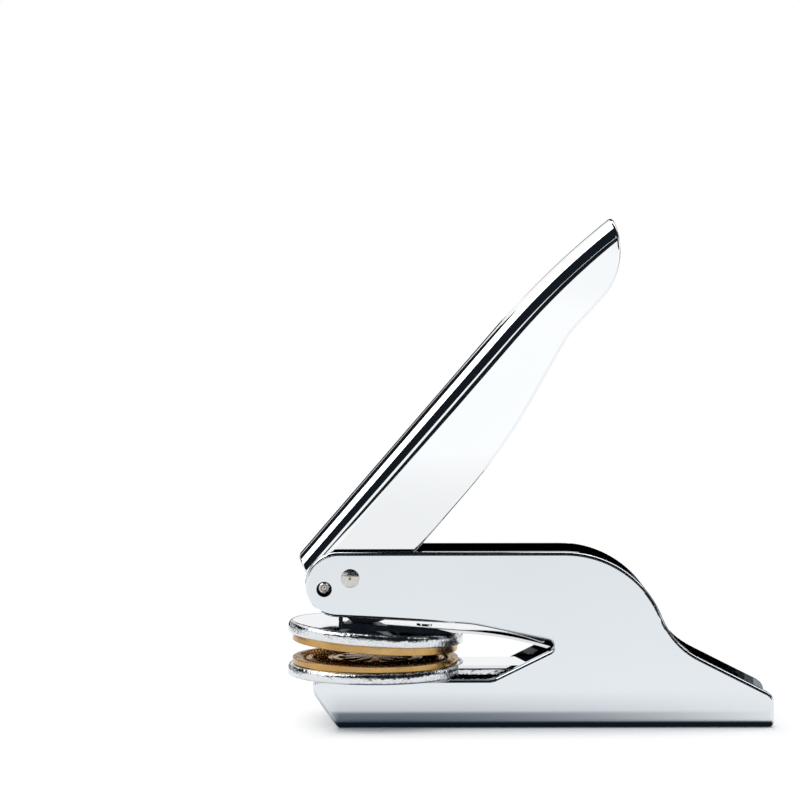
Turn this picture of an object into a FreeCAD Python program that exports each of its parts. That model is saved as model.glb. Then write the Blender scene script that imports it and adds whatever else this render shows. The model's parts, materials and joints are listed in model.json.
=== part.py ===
# Lever seal embosser: a folded plate frame, a folded lever with a press cam, and a
# spring clip that carries two cast die plates with their brass dies.
# Millimetres. +Z up, +X from the nose to the tail, and the mid-plane is y = 0.
# The origin is on the underside of the frame, half way along it.
import FreeCAD, Part
import math
import os

V = FreeCAD.Vector
Y_AXIS = V(0, 1, 0)
Z_AXIS = V(0, 0, 1)

# ---- frame ----------------------------------------------------------------------
frame_length = 114.9
frame_height = 43.4
frame_width = 24.0
frame_sheet = 2.0
frame_bend = 2.3             # outer radius where the sides turn into the base
frame_edge_round = 0.9       # rolled-over rim of the outer faces
nose_radius = 8.0
crest_end_x = 6.0            # where the level top starts to fall away
crest_radius = 25.9
valley_radius = 19.3
tail_height = 8.0            # height of the tail's end
tail_slope_deg = 26.8
tail_corner = 2.8
jaw_front_x = -55.6
front_curve_radius = 4.5
front_curve_height = 10.1    # where the front starts to curve under
jaw_corner_radius = 1.5
front_slope_deg = 54.5
seat_height = 12.1           # level edge of the lower jaw
seat_corner_radius = 4.0
throat_kink_x = -16.9
throat_kink_height = 25.65
throat_kink_radius = 30.0
throat_tip_x = 1.85
throat_tip_height = 20.3
throat_tip_radius = 1.4
throat_slope_deg = 26.2      # slanted rear part of the lower jaw's edge

# ---- axle, sleeves and spacers ----------------------------------------------------
axle_from_nose = 10.95
axle_below_top = 6.4
axle_diameter = 4.6
axle_proud = 0.1             # the rim of each domed end stands out of the frame side
axle_dome = 0.45             # rise of the domed ends
axle_centre_diameter = 0.7   # turning centre in each end
axle_centre_depth = 0.35
sleeve_wall = 1.2
spacer_diameter = 9.5
running_fit = 0.05           # radial clearance of a turning pair
end_play = 0.1

# ---- lever ------------------------------------------------------------------------
lever_angle_deg = 49.2       # above the level, at rest
lever_side_gap = 2.2         # between a lever side and a frame side
lever_sheet = 1.5
lever_bend = 5.2
lever_edge_round = 0.7
lever_back = 12.5            # outer back above the axle
lever_start = 4.8            # the back starts this far below the axle
lever_straight = 71.0        # where the back starts to curve over
lever_back_radius = 200.0
lever_depth = 8.2            # sides below the axle line
lever_belly_end = 35.2
lever_rise_radius = 132.0
lever_rise_deg = 11.4
lever_rise_run = 16.5
lever_hump_radius = 22.3
lever_dip_deg = 1.9
lever_dip_run = 8.8
lever_tip_radius = 18.0
lever_travel_deg = 40.0

# ---- cam and its pin --------------------------------------------------------------
cam_width = 10.0
cam_boss_radius = 6.4
cam_flat_front = 0.6         # front end of the resting flat, behind the axle
cam_clearance = 0.1
cam_points = 9
cam_heel = 1.2               # straight run past the last contact point
cam_corner = 0.6
cam_pin_diameter = 2.6
cam_pin_from_axle = 6.9
cam_pin_angle_deg = 203.0    # seen from the axle, at rest
cam_pin_end_gap = 1.0        # from each end of the cam pin to the frame side
cam_pin_chamfer = 0.3
cam_pin_boss = 2.8
lever_pin_boss = 3.2
access_hole_diameter = 3.8
bush_wall = 0.9

# ---- die plates and dies ------------------------------------------------------------
die_centre_x = -40.3
plate_diameter = 43.6
plate_top_round = 1.4
plate_foot_round = 0.3
lower_plate_thickness = 2.8
upper_plate_thickness = 3.0
die_diameter = 41.0
die_edge_round = 0.15
lower_die_thickness = 1.5
upper_die_thickness = 1.9
paper_gap = 0.15             # left between the closed dies
bar_width = 15.5             # tail bar of the lower plate
bar_thickness = 2.2
bar_end_x = 13.0
key_gap = 0.3                # between the lower plate's key and each frame side
key_depth = 2.2
key_length = 26.0
key_round = 1.5
dowel_diameter = 2.0
dowel_depth = 1.0            # into the plate and into the die
dowel_pitch = 26.0

# ---- spring clip --------------------------------------------------------------------
clip_sheet = 0.7
clip_width = 16.0
clip_front_gap = 0.1         # between the lower leaf and the rim of its plate
fold_radius = 0.75           # inside the fold
flex_x = 3.6                 # where the upper leaf bends as it is pressed
flex_gap = 0.05
leaf_sweep_x = -18.4         # the upper leaf is level in front of this
leaf_sweep_radius = 90.0
leaf_front_x = -49.7
lip_height = 0.7
lip_radius = 0.5
lip_width = 9.0
jaw_open_deg = 3.7
rivet_diameter = 2.4
rivet_head_diameter = 4.0
rivet_head_height = 0.3
upper_rivet_offsets = (-3.0, 11.9)   # flush and headed, from the centre of the dies
lower_rivet_xs = (-11.0, 5.0)

# ---- worked out from the sizes above ------------------------------------------------
nose_x = -frame_length / 2
tail_x = frame_length / 2
axle_x = nose_x + axle_from_nose
axle_z = frame_height - axle_below_top
inner_gap = frame_width - 2 * frame_sheet
lever_width = inner_gap - 2 * lever_side_gap
lever_inner = lever_width - 2 * lever_sheet
side_space = (lever_inner - cam_width) / 2
lever_angle = math.radians(lever_angle_deg)
lever_travel = math.radians(lever_travel_deg)
jaw_open = math.radians(jaw_open_deg)
jaw_ratio = jaw_open_deg / lever_travel_deg
lower_die_z = seat_height + lower_plate_thickness
closed_die_z = lower_die_z + lower_die_thickness + paper_gap
closed_plate_z = closed_die_z + upper_die_thickness
closed_leaf_z = closed_plate_z + upper_plate_thickness
closed_top_z = closed_leaf_z + clip_sheet
bar_top = seat_height + bar_thickness
leaf_mid_radius = leaf_sweep_radius - clip_sheet / 2
leaf_sweep = math.asin((flex_x - leaf_sweep_x) / leaf_mid_radius)
flex_z = closed_top_z - clip_sheet / 2 - leaf_mid_radius * (1 - math.cos(leaf_sweep))
axle_bore = axle_diameter + 2 * running_fit
sleeve_diameter = axle_bore + 2 * sleeve_wall
bush_diameter = cam_pin_diameter + 2 * bush_wall


# ---- side-view geometry -------------------------------------------------------------
def point(x, z):
    return V(x, 0, z)


def direction(angle):
    """Unit vector at an angle in the side view, from +X towards +Z."""
    return V(math.cos(angle), 0, math.sin(angle))


def turned(vector, angle):
    c, s = math.cos(angle), math.sin(angle)
    return V(vector.x * c - vector.z * s, 0, vector.x * s + vector.z * c)


axle = point(axle_x, axle_z)
flex = point(flex_x, flex_z)
cam_pin = axle + direction(math.radians(cam_pin_angle_deg)) * cam_pin_from_axle


def tangent_point(outside, centre, radius, side):
    """Where a line from a point outside touches a circle; side is +1 or -1."""
    link = outside - centre
    return centre + turned(link, side * math.acos(radius / link.Length)) * (radius / link.Length)


def outer_tangent(first, first_radius, second, second_radius, side):
    """Both touching points of a line that passes two circles on the same side."""
    link = second - first
    lean = math.acos((first_radius - second_radius) / link.Length)
    normal = turned(link, side * lean).normalize()
    return first + normal * first_radius, second + normal * second_radius


def circles_meet(first, first_radius, second, second_radius):
    """The crossing of two circles on the left of the way from the first to the second."""
    link = second - first
    along = (link.Length ** 2 + first_radius ** 2 - second_radius ** 2) / (2 * link.Length)
    across = math.sqrt(first_radius ** 2 - along ** 2)
    link.normalize()
    return first + link * along + turned(link, math.pi / 2) * across


def corner_round(before, corner, after, radius):
    """Start, middle and end of the arc that rounds a corner."""
    u = (before - corner).normalize()
    v = (after - corner).normalize()
    half = math.acos(max(-1.0, min(1.0, u.dot(v)))) / 2
    reach = radius / math.tan(half)
    centre = corner + (u + v).normalize() * (radius / math.sin(half))
    middle = centre + (corner - centre).normalize() * radius
    return corner + u * reach, middle, corner + v * reach


class Path:
    """A side-view outline drawn with straight lines, arcs and smooth curves."""

    def __init__(self, start):
        self.start = start
        self.at = start
        self.edges = []

    def line(self, end):
        if (end - self.at).Length > 1e-6:
            self.edges.append(Part.LineSegment(self.at, end).toShape())
        self.at = end
        return self

    def rounded(self, corner, after, radius):
        """A line towards a corner that is rounded on the way to the next point."""
        start, middle, end = corner_round(self.at, corner, after, radius)
        self.line(start)
        self.edges.append(Part.Arc(start, middle, end).toShape())
        self.at = end
        return self

    def around(self, centre, end, turn):
        """An arc about a centre; turn is +1 from +X towards +Z, or -1."""
        first = self.at - centre
        last = end - centre
        start_angle = math.atan2(first.z, first.x)
        sweep = (math.atan2(last.z, last.x) - start_angle) * turn % (2 * math.pi)
        middle = centre + direction(start_angle + turn * sweep / 2) * first.Length
        self.edges.append(Part.Arc(self.at, middle, end).toShape())
        self.at = end
        return self

    def swing(self, radius, angle, heading):
        """An arc that leaves along a heading and turns by an angle, + towards +Z."""
        side = math.copysign(1, angle)
        centre = self.at + turned(heading, side * math.pi / 2) * radius
        end = centre + turned(self.at - centre, angle)
        self.around(centre, end, side)
        return turned(heading, angle)

    def curve(self, points, start_heading, end_heading):
        spline = Part.BSplineCurve()
        spline.interpolate(Points=points, InitialTangent=start_heading, FinalTangent=end_heading)
        self.edges.append(spline.toShape())
        self.at = points[-1]
        return self

    def face(self):
        self.line(self.start)
        return Part.Face(Part.Wire(self.edges))


def slab(face, width):
    """A side-view face given a width, centred on the mid-plane."""
    moved = face.copy()
    moved.translate(V(0, -width / 2, 0))
    return moved.extrude(V(0, width, 0))


def rod(centre, diameter, length, y=None):
    """A cylinder across the machine, centred on the mid-plane unless y is given."""
    start = V(centre.x, -length / 2 if y is None else y, centre.z)
    return Part.makeCylinder(diameter / 2, length, start, Y_AXIS)


def ring(centre, outer, inner, length, y):
    return rod(centre, outer, length, y).cut(rod(centre, inner, length, y))


def upright(x, y, z, diameter, length):
    return Part.makeCylinder(diameter / 2, length, V(x, y, z), Z_AXIS)


def both_sides(shape):
    """The shape and its mirror image on the other side of the mid-plane."""
    return Part.makeCompound([shape, shape.mirror(V(0, 0, 0), Y_AXIS)])


def opened(shape):
    """A piece of the upper jaw, drawn closed, swung up to its place at rest."""
    moved = shape.copy()
    moved.rotate(flex, Y_AXIS, jaw_open_deg)
    return moved


# ---- frame --------------------------------------------------------------------------
def frame_outline():
    """Nose, level top, double curve to the tail, base, curved front, jaw and throat."""
    nose = point(nose_x + nose_radius, frame_height - nose_radius)
    kink = point(throat_kink_x, throat_kink_height)
    tip = point(throat_tip_x, throat_tip_height)
    nose_low = tangent_point(kink, nose, nose_radius, -1)
    tip_high = tangent_point(kink, tip, throat_tip_radius, -1)
    slope = direction(math.radians(throat_slope_deg))
    tip_low = tip - turned(slope, math.pi / 2) * throat_tip_radius
    seat_corner = tip_low - slope * ((tip_low.z - seat_height) / slope.z)

    crest = point(crest_end_x, frame_height - crest_radius)
    fall = direction(-math.radians(tail_slope_deg))
    out = turned(fall, math.pi / 2)
    tail_top = point(tail_x, tail_height)
    shelf = tail_top + out * valley_radius
    link = shelf - crest
    back = math.sqrt((crest_radius + valley_radius) ** 2 - link.dot(out) ** 2)
    valley = shelf + fall * (back - link.dot(fall))
    crest_low = crest + (valley - crest).normalize() * crest_radius
    valley_low = valley - out * valley_radius

    front = math.radians(front_slope_deg)
    curve = point(jaw_front_x + front_curve_radius, front_curve_height)
    curve_low = curve - direction(math.pi / 2 - front) * front_curve_radius
    toe = point(curve_low.x + curve_low.z / math.tan(front), 0)
    heel = point(tail_x, 0)
    jaw_corner = point(jaw_front_x, seat_height)
    curve_high = point(jaw_front_x, front_curve_height)

    path = Path(point(crest_end_x, frame_height))
    path.line(nose + V(0, 0, nose_radius)).around(nose, nose_low, 1)
    path.rounded(kink, tip_high, throat_kink_radius).line(tip_high)
    path.around(tip, tip_low, -1)
    path.rounded(seat_corner, jaw_corner, seat_corner_radius)
    path.rounded(jaw_corner, curve_high, jaw_corner_radius).line(curve_high)
    path.around(curve, curve_low, 1)
    path.line(toe).line(heel)
    path.rounded(tail_top, valley_low, tail_corner).line(valley_low)
    path.around(valley, crest_low, -1)
    path.around(crest, path.start, 1)
    return path.face()


def is_smooth(shape, edge):
    """True where the two faces that meet at an edge run on without a corner."""
    sides = [face for face in shape.Faces if any(edge.isSame(other) for other in face.Edges)]
    if len(sides) < 2:
        return True
    spot = edge.valueAt((edge.FirstParameter + edge.LastParameter) / 2)
    normals = [face.normalAt(*face.Surface.parameter(spot)) for face in sides]
    return normals[0].getAngle(normals[1]) < math.radians(5)


def rounded_edges(shape, radius, picks):
    """Fillets the edges whose bounding boxes are picked."""
    return shape.makeFillet(radius, [edge for edge in shape.Edges if picks(edge.BoundBox)])


def frame():
    """One plate folded into a U, with its outer rim rolled over."""
    def at_base(box):
        return box.ZMax < 1e-6 and box.YLength < 1e-6

    def on_rim(box):
        crosses = box.YLength > frame_width - 1e-6
        bend_line = box.YLength < 1e-6 and box.ZLength < 1e-6 and box.ZMax < frame_bend + 1e-6
        return not crosses and not bend_line

    def at_floor(box):
        return abs(box.ZMax - frame_sheet) < 1e-6 and box.YLength < 1e-6

    body = slab(frame_outline(), frame_width)
    body = rounded_edges(body, frame_bend, at_base)
    body = rounded_edges(body, frame_edge_round, on_rim)
    channel = Part.makeBox(frame_length + 2, inner_gap, frame_height,
                           V(nose_x - 1, -inner_gap / 2, frame_sheet))
    channel = rounded_edges(channel, frame_bend - frame_sheet, at_floor)
    axle_holes = rod(axle, axle_diameter, frame_width + 2)
    access_holes = rod(cam_pin, access_hole_diameter, frame_width + 2)
    return body.cut([channel, axle_holes, access_holes])


def main_axle():
    """A pin riveted into both frame sides, with domed ends that keep their turning centres."""
    radius = axle_diameter / 2
    rim_y = frame_width / 2 + axle_proud
    top_y = rim_y + axle_dome
    dome_radius = (radius ** 2 + axle_dome ** 2) / (2 * axle_dome)
    rim_latitude = math.degrees(math.acos(radius / dome_radius))
    dome = Part.makeSphere(dome_radius, V(axle_x, top_y - dome_radius, axle_z), Y_AXIS, rim_latitude, 90)
    mark = Part.makeCone(axle_centre_diameter / 2, 0, axle_centre_depth, V(axle_x, top_y, axle_z),
                         Y_AXIS * -1)
    end = dome.cut(mark)
    return rod(axle, axle_diameter, 2 * rim_y).fuse([end, end.mirror(V(0, 0, 0), Y_AXIS)])


def axle_sleeves():
    """They hold the cam in the middle of the axle, between the lever's sides."""
    start = cam_width / 2 + end_play / 2
    return both_sides(ring(axle, sleeve_diameter, axle_bore, side_space - end_play, start))


def lever_spacers():
    """They hold the lever in the middle of the frame."""
    start = lever_width / 2 + end_play / 2
    return both_sides(ring(axle, spacer_diameter, axle_bore, lever_side_gap - end_play, start))


# ---- lever and cam --------------------------------------------------------------------
def on_lever(along, back):
    """A point of the lever at rest: along it from the axle, and towards its back."""
    return axle + turned(V(along, 0, back), lever_angle)


def lever_outline():
    """Straight back that curves over to the tip, waved belly, and a round foot."""
    heading = direction(lever_angle)
    foot = on_lever(-lever_start, lever_back)
    foot_in, pin_in = outer_tangent(axle, lever_depth, cam_pin, lever_pin_boss, 1)
    pin_out = tangent_point(foot, cam_pin, lever_pin_boss, 1)

    path = Path(foot)
    path.line(pin_out).around(cam_pin, pin_in, 1).line(foot_in)
    path.around(axle, on_lever(0, -lever_depth), 1)
    path.line(on_lever(lever_belly_end, -lever_depth))
    heading = path.swing(lever_rise_radius, math.radians(lever_rise_deg), heading)
    path.line(path.at + heading * lever_rise_run)
    fall = -math.radians(lever_rise_deg + lever_dip_deg)
    heading = path.swing(lever_hump_radius, fall, heading)
    path.line(path.at + heading * lever_dip_run)

    tip_centre = path.at + turned(heading, math.pi / 2) * lever_tip_radius
    back_centre = on_lever(lever_straight, lever_back - lever_back_radius)
    tip = circles_meet(tip_centre, lever_tip_radius, back_centre, lever_back_radius)
    path.around(tip_centre, tip, 1)
    path.around(back_centre, on_lever(lever_straight, lever_back), 1)
    return path.face()


def lever_hollow():
    """The space between the lever's sides, open everywhere but at the back."""
    inner_back = lever_back - lever_sheet
    far = 2 * lever_back_radius
    back_centre = on_lever(lever_straight, lever_back - lever_back_radius)
    inner_radius = lever_back_radius - lever_sheet
    past_tip = back_centre + turned(direction(lever_angle), math.radians(60)) * inner_radius
    path = Path(on_lever(-far, inner_back))
    path.line(on_lever(lever_straight, inner_back)).around(back_centre, past_tip, -1)
    path.line(on_lever(far, -far)).line(on_lever(-far, -far))
    return path.face()


def lever():
    """One plate folded into a channel that is open towards the frame."""
    def depth(edge):
        """How far the middle of an edge lies from the back's surface."""
        middle = edge.valueAt((edge.FirstParameter + edge.LastParameter) / 2)
        local = turned(V(middle.x, 0, middle.z) - axle, -lever_angle)
        if local.x < lever_straight:
            return lever_back - local.z
        centre = V(lever_straight, 0, lever_back - lever_back_radius)
        return lever_back_radius - (local - centre).Length

    def lengthwise(edge):
        return edge.BoundBox.YLength < 1e-6

    outer = slab(lever_outline(), lever_width)
    folds = [edge for edge in outer.Edges if lengthwise(edge) and abs(depth(edge)) < 1e-3]
    outer = outer.makeFillet(lever_bend, folds)
    rim = [edge for edge in outer.Edges if not is_smooth(outer, edge)
           and edge.BoundBox.YLength < lever_width - 1e-6]
    outer = outer.makeFillet(lever_edge_round, rim)

    inner = slab(lever_hollow(), lever_inner)
    folds = [edge for edge in inner.Edges if lengthwise(edge)
             and abs(depth(edge) - lever_sheet) < 1e-3]
    inner = inner.makeFillet(lever_bend - lever_sheet, folds)
    axle_holes = rod(axle, axle_bore, frame_width)
    pin_holes = rod(cam_pin, cam_pin_diameter, frame_width)
    return outer.cut([inner, axle_holes, pin_holes])


def cam_contact(press):
    """Where the cam touches the leaf once pressed by an angle, and its heading there.

    The leaf's top lies at a distance from the axle that falls as the jaw closes, and the
    contour is the envelope of that plane as seen from the lever.
    """
    open_angle = jaw_open - jaw_ratio * press
    arm = axle - flex
    top = closed_top_z - flex_z
    reach = arm.x * math.sin(open_angle) + arm.z * math.cos(open_angle) - top - cam_clearance
    rate = (arm.x * math.cos(open_angle) - arm.z * math.sin(open_angle)) * -jaw_ratio
    normal = direction(-math.pi / 2 - open_angle + press)
    heading = turned(normal, math.pi / 2)
    return axle + normal * reach + heading * (rate / (1 + jaw_ratio)), heading


def press_cam():
    """A thick plate between the lever's sides, on the axle and the cam pin."""
    steps = [lever_travel * i / (cam_points - 1) for i in range(cam_points)]
    contacts = [cam_contact(press) for press in steps]
    points = [spot for spot, heading in contacts]
    first_heading, last_heading = contacts[0][1], contacts[-1][1]
    front = points[0] - first_heading * ((points[0].x - axle_x - cam_flat_front) / first_heading.x)
    heel = points[-1] + last_heading * cam_heel
    boss_in = tangent_point(heel, axle, cam_boss_radius, 1)
    boss_out, pin_in = outer_tangent(axle, cam_boss_radius, cam_pin, cam_pin_boss, -1)
    pin_out = tangent_point(front, cam_pin, cam_pin_boss, -1)

    path = Path(points[0])
    path.curve(points, first_heading, last_heading)
    path.rounded(heel, boss_in, cam_corner).line(boss_in)
    path.around(axle, boss_out, 1).line(pin_in)
    path.around(cam_pin, pin_out, 1)
    path.rounded(front, points[0], cam_corner)
    body = slab(path.face(), cam_width)
    return body.cut([rod(axle, axle_bore, cam_width + 2), rod(cam_pin, cam_pin_diameter, cam_width + 2)])


def cam_pin_piece():
    """A dowel pressed through the lever's sides and the cam, its ends proud of both sides."""
    length = inner_gap - 2 * cam_pin_end_gap
    pin = rod(cam_pin, cam_pin_diameter, length)
    return pin.makeChamfer(cam_pin_chamfer, [pin.Edges[0], pin.Edges[2]])


def cam_pin_bushes():
    return both_sides(ring(cam_pin, bush_diameter, cam_pin_diameter, side_space, cam_width / 2))


# ---- die plates and dies ----------------------------------------------------------------
def round_plate(z, diameter, thickness, top_round, foot_round):
    plate = upright(die_centre_x, 0, z, diameter, thickness)
    for radius, height in ((top_round, z + thickness), (foot_round, z)):
        plate = rounded_edges(plate, radius, lambda box: abs(box.ZMin - height) + box.ZLength < 1e-6)
    return plate


def dowels(z):
    """Two dowels across the parting face of a plate and its die."""
    places = (-dowel_pitch / 2, dowel_pitch / 2)
    return [upright(die_centre_x, y, z - dowel_depth, dowel_diameter, 2 * dowel_depth) for y in places]


def lower_die_plate():
    """A casting: a disc, a key between the frame's sides and a bar towards the tail."""
    disc = round_plate(seat_height, plate_diameter, lower_plate_thickness,
                       plate_top_round, plate_foot_round)
    bar = Part.makeBox(bar_end_x - die_centre_x, bar_width, bar_thickness,
                       V(die_centre_x, -bar_width / 2, seat_height))
    key_width = inner_gap - 2 * key_gap
    key_rise = lower_plate_thickness / 2
    key = Part.makeBox(key_length, key_width, key_depth + key_rise,
                       V(die_centre_x - key_length / 2, -key_width / 2, seat_height - key_depth))
    corners = [edge for edge in key.Edges if edge.BoundBox.ZLength > key_depth]
    key = key.makeFillet(key_round, corners)
    return disc.fuse([bar, key]).removeSplitter().cut(dowels(lower_die_z) + lower_rivets())


def lower_die():
    disc = round_plate(lower_die_z, die_diameter, lower_die_thickness,
                       die_edge_round, die_edge_round)
    return disc.cut(dowels(lower_die_z))


def upper_die_plate():
    disc = round_plate(closed_plate_z, plate_diameter, upper_plate_thickness,
                       plate_top_round, plate_foot_round)
    return disc.cut(dowels(closed_plate_z) + upper_shanks())


def upper_die():
    disc = round_plate(closed_die_z, die_diameter, upper_die_thickness,
                       die_edge_round, die_edge_round)
    return disc.cut(dowels(closed_plate_z))


# ---- spring clip --------------------------------------------------------------------------
def upper_shanks():
    length = closed_top_z - closed_plate_z
    return [upright(die_centre_x + offset, 0, closed_plate_z, rivet_diameter, length)
            for offset in upper_rivet_offsets]


def cam_rivet():
    """Flush with the leaf, because the cam passes over it."""
    return upper_shanks()[0]


def rear_rivet():
    head = upright(die_centre_x + upper_rivet_offsets[1], 0, closed_top_z, rivet_head_diameter,
                   rivet_head_height)
    return upper_shanks()[1].fuse(head)


def lower_rivets():
    """Flush rivets through the lower leaf and the bar."""
    length = bar_thickness + clip_sheet
    return [upright(x, 0, seat_height, rivet_diameter, length) for x in lower_rivet_xs]


def clip_root():
    """The fixed part of the spring: lower leaf, fold, and the run up to the bending line."""
    half = clip_sheet / 2
    heading = direction(-leaf_sweep - jaw_open)
    out = turned(heading, math.pi / 2)
    inside = fold_radius
    outside = fold_radius + clip_sheet
    middle = fold_radius + half
    fold_z = bar_top + outside
    fold_x = flex_x + ((flex_z - fold_z) * out.z - middle) / out.x
    fold = point(fold_x, fold_z)
    down = V(0, 0, -1)

    path = Path(point(die_centre_x, bar_top))
    path.line(fold + down * outside).around(fold, fold + out * outside, 1)
    path.line(flex + out * half).line(flex - out * half).line(fold + out * inside)
    path.around(fold, fold + down * inside, -1)
    path.line(point(die_centre_x, bar_top + clip_sheet))
    strip = slab(path.face(), clip_width)
    seat = rod(flex, clip_sheet + 2 * flex_gap, clip_width + 2)
    clear = upright(die_centre_x, 0, seat_height, plate_diameter + 2 * clip_front_gap, frame_height)
    return strip.cut([seat, clear] + lower_rivets())


def clip_leaf():
    """The moving part of the spring, drawn closed: a level run swept down to the bend."""
    top_radius = leaf_sweep_radius
    centre = point(leaf_sweep_x, closed_top_z - top_radius)
    end = direction(math.pi / 2 - leaf_sweep)
    lip_back = leaf_front_x + clip_sheet
    lip_top = closed_top_z + lip_height

    path = Path(point(leaf_front_x, lip_top))
    path.rounded(point(leaf_front_x, closed_leaf_z), point(leaf_sweep_x, closed_leaf_z),
                 lip_radius + clip_sheet)
    path.line(point(leaf_sweep_x, closed_leaf_z))
    path.around(centre, centre + end * (top_radius - clip_sheet), -1)
    path.around(flex, centre + end * top_radius, 1)
    path.around(centre, point(leaf_sweep_x, closed_top_z), 1)
    path.rounded(point(lip_back, closed_top_z), point(lip_back, lip_top), lip_radius)
    path.line(point(lip_back, lip_top))
    strip = slab(path.face(), clip_width)

    shoulder = Part.makeBox(clip_sheet + lip_radius, clip_width, lip_height + 2 * clip_sheet,
                            V(leaf_front_x, lip_width / 2, closed_leaf_z))
    return strip.cut([shoulder, shoulder.mirror(V(0, 0, 0), Y_AXIS)] + upper_shanks())


def main():
    os.makedirs("parts", exist_ok=True)
    fixed = {
        "frame": frame(),
        "main_axle": main_axle(),
        "axle_sleeves": axle_sleeves(),
        "lever_spacers": lever_spacers(),
        "lever": lever(),
        "press_cam": press_cam(),
        "cam_pin": cam_pin_piece(),
        "cam_pin_bushes": cam_pin_bushes(),
        "lower_die_plate": lower_die_plate(),
        "lower_die": lower_die(),
        "lower_die_dowels": Part.makeCompound(dowels(lower_die_z)),
        "clip_root": clip_root(),
        "bar_rivets": Part.makeCompound(lower_rivets()),
    }
    closed = {
        "clip_leaf": clip_leaf(),
        "upper_die_plate": upper_die_plate(),
        "upper_die": upper_die(),
        "upper_die_dowels": Part.makeCompound(dowels(closed_plate_z)),
        "leaf_rivet_flush": cam_rivet(),
        "leaf_rivet_headed": rear_rivet(),
    }
    for node, shape in fixed.items():
        shape.exportStep("parts/%s.step" % node)
    for node, shape in closed.items():
        opened(shape).exportStep("parts/%s.step" % node)


main()
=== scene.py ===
import bpy
import bmesh
import json
import math
from mathutils import Matrix, Vector

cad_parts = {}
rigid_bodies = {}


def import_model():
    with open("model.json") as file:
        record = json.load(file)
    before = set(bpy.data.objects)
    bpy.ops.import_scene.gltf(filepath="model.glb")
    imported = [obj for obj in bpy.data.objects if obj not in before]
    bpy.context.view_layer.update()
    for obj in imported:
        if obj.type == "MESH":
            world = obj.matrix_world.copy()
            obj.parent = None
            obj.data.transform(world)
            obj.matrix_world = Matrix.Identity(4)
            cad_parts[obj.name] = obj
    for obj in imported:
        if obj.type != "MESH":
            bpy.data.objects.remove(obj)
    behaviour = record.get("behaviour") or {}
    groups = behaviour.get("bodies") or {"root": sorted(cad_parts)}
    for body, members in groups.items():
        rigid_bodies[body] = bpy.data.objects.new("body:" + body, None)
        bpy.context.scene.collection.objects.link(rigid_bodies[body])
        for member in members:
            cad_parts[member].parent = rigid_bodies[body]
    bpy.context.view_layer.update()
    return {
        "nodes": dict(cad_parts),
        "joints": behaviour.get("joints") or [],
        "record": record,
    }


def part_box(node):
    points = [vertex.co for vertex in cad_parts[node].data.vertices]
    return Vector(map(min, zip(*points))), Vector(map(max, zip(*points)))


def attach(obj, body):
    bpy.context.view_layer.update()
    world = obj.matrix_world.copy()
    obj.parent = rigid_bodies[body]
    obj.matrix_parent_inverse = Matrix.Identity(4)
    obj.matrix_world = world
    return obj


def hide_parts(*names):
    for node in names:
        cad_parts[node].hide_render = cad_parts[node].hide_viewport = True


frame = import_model()
for leftOver in [o for o in bpy.data.objects if o.name in ("Cube", "Light", "Camera")]:
    bpy.data.objects.remove(leftOver)
scene = bpy.context.scene
scene.view_settings.view_transform = "Standard"
mm = 0.001

# kinds of node that come up often
mathNode = "ShaderNodeMath"
vectorNode = "ShaderNodeVectorMath"
rangeNode = "ShaderNodeMapRange"
mixNode = "ShaderNodeMix"
splitNode = "ShaderNodeSeparateXYZ"


def hexColour(text):
    # sRGB hex to the linear values that the shaders want
    parts = [int(text[i:i + 2], 16) / 255 for i in (1, 3, 5)]
    return [c / 12.92 if c <= 0.04045 else ((c + 0.055) / 1.055) ** 2.4 for c in parts] + [1]


def addNode(tree, kind, inputs=(), **settings):
    # inputs holds values, sockets or nodes, by place or by name; a node stands for its first output
    node = tree.nodes.new(kind)
    for name, value in settings.items():
        setattr(node, name, value)
    for key, value in inputs.items() if isinstance(inputs, dict) else enumerate(inputs):
        source = value.outputs[0] if isinstance(value, bpy.types.Node) else value
        if isinstance(source, bpy.types.NodeSocket):
            tree.links.new(source, node.inputs[key])
        else:
            node.inputs[key].default_value = source
    return node


def newMaterial(name):
    material = bpy.data.materials.new(name)
    material.use_nodes = True
    material.node_tree.nodes.clear()
    return material, material.node_tree


def addObject(name, data):
    made = bpy.data.objects.new(name, data)
    scene.collection.objects.link(made)
    return made


# camera: a long lens at the height of the lever's tip, looking a little down; angles in degrees,
# lens and sensor in millimetres
cameraView = {"place": (-0.04401, -0.79361, 0.12560), "pitchDown": 3.292, "yawRight": 0.711,
              "lens": 144.72, "sensor": 36}
camera = addObject("camera", bpy.data.cameras.new("camera"))
camera.data.lens = cameraView["lens"]
camera.data.sensor_width = cameraView["sensor"]
camera.location = cameraView["place"]
turn = (90 - cameraView["pitchDown"], 0, -cameraView["yawRight"])
camera.rotation_euler = [math.radians(angle) for angle in turn]
scene.camera = camera

# studio: white paper all round, black cards bent over the machine, one long soft box between them; in
# metres and watts
studio = {
    "white": "#FFFFFF", "fill": 0.42, "halfWidth": 4,
    "boxPlace": (0, 0.095, 1.0), "boxSize": (3.0, 1.07), "boxPower": 15,
}
# the floor's paper: the camera sees it lifted by a faint cool glow, and it goes over to pure white away
# from the base, sooner for the camera than in mirrors; a pair is where a blend starts and where it ends,
# and sidePower bends the blend past the base's ends
paperLook = {
    "colour": "#F6F6F6", "lift": 0.07, "liftColour": "#A9C4E0", "farWhite": 1.04,
    "seenFront": (2 * mm, 22 * mm), "seenSide": 15 * mm, "sidePower": 0.4, "mirrorWhite": (0.15, 0.9),
}
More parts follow.
